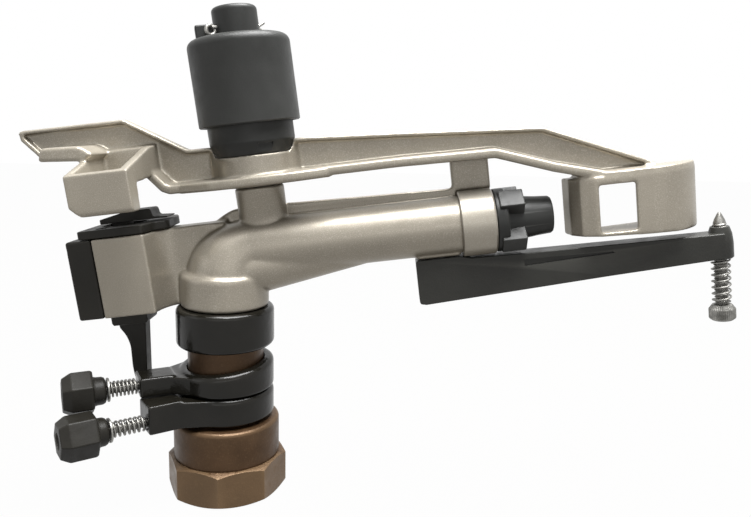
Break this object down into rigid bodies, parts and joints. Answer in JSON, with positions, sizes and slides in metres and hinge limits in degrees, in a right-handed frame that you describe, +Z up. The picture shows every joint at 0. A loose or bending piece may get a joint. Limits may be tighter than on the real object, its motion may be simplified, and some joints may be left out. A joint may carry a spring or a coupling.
{
  "type": "impact sprinkler",
  "caption": "Large part-circle impact sprinkler with swivelling head, sprung drive arm with deflector, reversing mechanism, stop rings and jet-breaking screw.",
  "frame": {"origin": "centre of the inlet's open bottom face, on the swivel axis", "axes": "+Z up along the swivel axis, +X the level direction in which the jet leaves, -Y the side of the weight box and of the stop knobs"},
  "size_m": [0.3805, 0.0943, 0.2587],
  "materials": {
    "bronze_body": "bronze-brown painted casting, satin",
    "silver_paint": "cast aluminium with warm silver paint, satin",
    "black_plastic": "moulded black plastic, satin",
    "black_satin_paint": "black paint, satin to gloss",
    "zinc_steel": "zinc-plated steel",
    "brass_tube": "turned brass",
    "seal_rubber": "black rubber"
  },
  "bodies": {
    "base": {"inlet_body": "bronze_body", "inlet_sleeve": "bronze_body", "bearing_collar": "black_satin_paint", "thrust_washer_lower": "black_plastic"},
    "head": {"head_casting": "silver_paint", "mechanism_housing": "silver_paint", "spindle_tube": "brass_tube", "spindle_seal": "seal_rubber", "thrust_washer_upper": "black_plastic", "barrel_ring": "silver_paint", "nozzle_gasket": "seal_rubber", "main_nozzle": "black_plastic", "end_cover": "black_plastic", "end_cover_screw_1": "zinc_steel", "end_cover_screw_2": "zinc_steel", "top_cover": "black_plastic", "top_cover_screw_1": "zinc_steel", "top_cover_screw_2": "zinc_steel", "trip_pin": "zinc_steel", "pawl_pin": "zinc_steel", "toggle_spring": "zinc_steel", "pivot_washer": "zinc_steel", "pivot_pin": "zinc_steel", "spring_cap": "black_plastic", "cotter_pin": "zinc_steel", "diffuser_bar": "black_satin_paint", "bar_screw_1": "zinc_steel", "bar_screw_2": "zinc_steel", "diffuser_spring": "zinc_steel"},
    "arm": {"drive_arm": "silver_paint", "arm_bushing_lower": "brass_tube", "arm_bushing_upper": "brass_tube", "spring_cup": "black_plastic", "return_spring": "zinc_steel"},
    "trip": {"trip_lever": "black_plastic"},
    "pawl": {"reversing_pawl": "black_plastic"},
    "diffuser": {"diffuser_screw": "zinc_steel"},
    "lower_stop": {"stop_ring_lower": "black_satin_paint", "stop_spring_lower": "zinc_steel"},
    "lower_clamp": {"stop_screw_lower": "zinc_steel", "stop_knob_lower": "black_plastic", "stop_washer_lower": "zinc_steel"},
    "upper_stop": {"stop_ring_upper": "black_satin_paint", "stop_spring_upper": "zinc_steel"},
    "upper_clamp": {"stop_screw_upper": "zinc_steel", "stop_knob_upper": "black_plastic", "stop_washer_upper": "zinc_steel"}
  },
  "joints": [
    {"name": "head_swivel", "type": "hinge", "parent": "base", "child": "head", "pos_m": [0, 0, 0.1], "axis": [0, 0, 1], "range_deg": [-195, 6]},
    {"name": "arm_swing", "type": "hinge", "parent": "head", "child": "arm", "pos_m": [0.01747, 0, 0.17676], "axis": [-0.1392, 0, 0.9903], "range_deg": [-75, 0], "stiffness_Nm_per_rad": 0.25, "springref_deg": 40.11},
    {"name": "trip_rock", "type": "hinge", "parent": "head", "child": "trip", "pos_m": [-0.04962, 0.003, 0.10876], "axis": [0.9903, 0, 0.1392], "range_deg": [0, 10], "deforming": ["toggle_spring"]},
    {"name": "pawl_rock", "type": "hinge", "parent": "head", "child": "pawl", "pos_m": [-0.05338, 0.002, 0.1355], "axis": [0.9903, 0, 0.1392], "range_deg": [-6, 0]},
    {"name": "diffuser_adjust", "type": "slide", "parent": "head", "child": "diffuser", "axis": [-0.1392, 0, 0.9903], "range_m": [0, 0.012], "deforming": ["diffuser_spring"]},
    {"name": "lower_stop_turn", "type": "hinge", "parent": "base", "child": "lower_stop", "pos_m": [0, 0, 0.05], "axis": [0, 0, 1], "range_deg": [0, 90]},
    {"name": "lower_stop_clamp", "type": "slide", "parent": "lower_stop", "child": "lower_clamp", "axis": [-0.8049, -0.5934, 0], "range_m": [0, 0.004]},
    {"name": "upper_stop_turn", "type": "hinge", "parent": "base", "child": "upper_stop", "pos_m": [0, 0, 0.065], "axis": [0, 0, 1], "range_deg": [-6, 0]},
    {"name": "upper_stop_clamp", "type": "slide", "parent": "upper_stop", "child": "upper_clamp", "axis": [-0.8796, -0.4756, 0], "range_m": [0, 0.004]}
  ],
  "couplings": [
    {"joint": "pawl_rock", "follows": "trip_rock", "ratio": -0.6}
  ]
}
